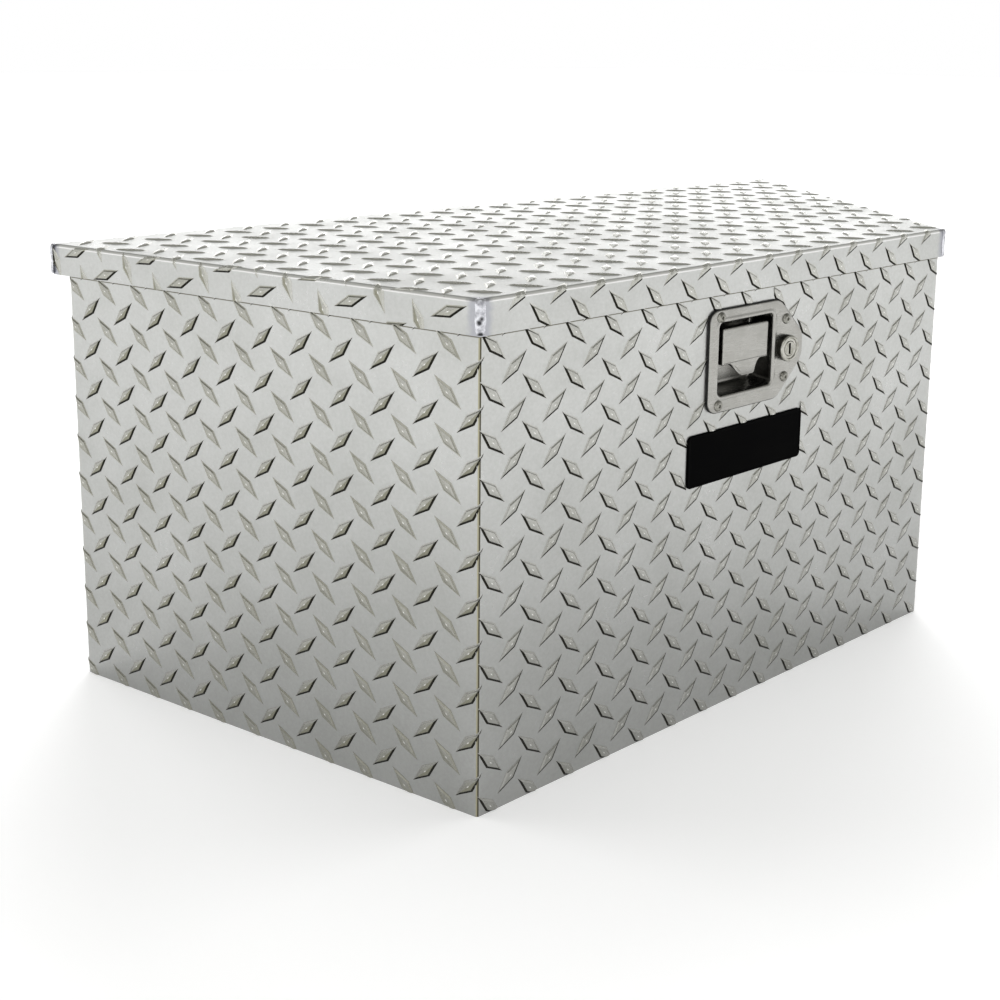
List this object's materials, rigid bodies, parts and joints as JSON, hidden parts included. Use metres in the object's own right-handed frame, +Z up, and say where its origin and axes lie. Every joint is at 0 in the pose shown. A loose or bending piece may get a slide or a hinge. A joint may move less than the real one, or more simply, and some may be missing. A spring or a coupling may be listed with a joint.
{
  "type": "trailer tongue tool box",
  "caption": "Lockable tread-plate tool box, trapezoid in plan, with a hinged skirted lid on gas struts, a flush paddle latch with key lock and a bolt-down floor.",
  "frame": {"origin": "centre of the underside, midway between the front and back walls, on the plane of symmetry of the shell", "axes": "+Z up; +X along the long side, to the right for someone facing the latch; -Y out of the latch face, +Y towards the hinge"},
  "size_m": [0.9224, 0.399, 0.4],
  "materials": {
    "tread_plate": "satin diamond tread, mill finish",
    "plain_sheet": "satin mill finish",
    "rivets": "satin",
    "seal_rubber": "matt black foam rubber",
    "hinge_steel": "satin stainless",
    "latch_steel": "satin brushed stainless",
    "zinc_steel": "bright zinc plate",
    "spring_steel": "oiled spring wire",
    "lock_chrome": "polished chrome",
    "label_black": "blank, satin black",
    "strut_paint": "black paint",
    "rod_chrome": "hard chrome",
    "socket_plastic": "black moulded nylon"
  },
  "bodies": {
    "box": {"box_wrap": "tread_plate", "back_panel": "tread_plate", "floor_pan": "plain_sheet", "lid_seal": "seal_rubber", "label_plate": "label_black", "hinge_box_leaf": "hinge_steel", "hinge_pin": "hinge_steel", "hinge_box_rivets": "rivets", "latch_plate": "latch_steel", "latch_gasket": "seal_rubber", "latch_rivets": "rivets", "paddle_pin": "latch_steel", "bolt_spring": "spring_steel", "bolt_guide": "zinc_steel", "lock_barrel": "lock_chrome", "lock_nut": "zinc_steel", "left_strut_box_bracket": "zinc_steel", "right_strut_box_bracket": "zinc_steel"},
    "lid": {"lid_panel": "tread_plate", "left_lid_stiffener": "plain_sheet", "right_lid_stiffener": "plain_sheet", "latch_catch": "zinc_steel", "hinge_lid_leaf": "hinge_steel", "hinge_lid_rivets": "rivets", "left_strut_lid_bracket": "zinc_steel", "right_strut_lid_bracket": "zinc_steel"},
    "paddle": {"paddle": "latch_steel"},
    "slam_bolt": {"slam_bolt": "zinc_steel"},
    "lock": {"lock_plug": "lock_chrome", "lock_cam": "zinc_steel", "cam_nut": "zinc_steel"},
    "left_tube": {"left_strut_tube": "strut_paint", "left_strut_lower_socket": "socket_plastic"},
    "left_rod": {"left_strut_rod": "rod_chrome", "left_strut_upper_socket": "socket_plastic"},
    "right_tube": {"right_strut_tube": "strut_paint", "right_strut_lower_socket": "socket_plastic"},
    "right_rod": {"right_strut_rod": "rod_chrome", "right_strut_upper_socket": "socket_plastic"}
  },
  "joints": [
    {"name": "lid_hinge", "type": "hinge", "parent": "box", "child": "lid", "pos_m": [0, 0.1933, 0.382], "axis": [-1, 0, 0], "range_deg": [0, 80]},
    {"name": "paddle_hinge", "type": "hinge", "parent": "box", "child": "paddle", "pos_m": [-0.0022, -0.184, 0.3377], "axis": [-1, 0, 0], "range_deg": [0, 30], "stiffness_Nm_per_rad": 0.6, "springref_deg": -17.19},
    {"name": "bolt_slide", "type": "slide", "parent": "box", "child": "slam_bolt", "axis": [0, -1, 0], "range_m": [0, 0.0097], "deforming": ["bolt_spring"]},
    {"name": "lock_turn", "type": "hinge", "parent": "box", "child": "lock", "pos_m": [0.0493, -0.18, 0.3155], "axis": [0, -1, 0], "range_deg": [0, 90]},
    {"name": "left_strut_pivot", "type": "hinge", "parent": "box", "child": "left_tube", "pos_m": [-0.33, 0.161, 0.14], "axis": [-1, 0, 0], "range_deg": [0, 14.56]},
    {"name": "left_strut_slide", "type": "slide", "parent": "left_tube", "child": "left_rod", "axis": [0, -0.2494, 0.9684], "range_m": [0, 0.0972]},
    {"name": "right_strut_pivot", "type": "hinge", "parent": "box", "child": "right_tube", "pos_m": [0.33, 0.161, 0.14], "axis": [-1, 0, 0], "range_deg": [0, 14.56]},
    {"name": "right_strut_slide", "type": "slide", "parent": "right_tube", "child": "right_rod", "axis": [0, -0.2494, 0.9684], "range_m": [0, 0.0972]}
  ],
  "couplings": [
    {"joint": "bolt_slide", "follows": "paddle_hinge", "m_per_rad": 0.0184},
    {"joint": "left_strut_pivot", "follows": "lid_hinge", "ratio": 0.17825},
    {"joint": "left_strut_slide", "follows": "lid_hinge", "m_per_rad": 0.068896},
    {"joint": "right_strut_pivot", "follows": "lid_hinge", "ratio": 0.17825},
    {"joint": "right_strut_slide", "follows": "lid_hinge", "m_per_rad": 0.068896}
  ]
}
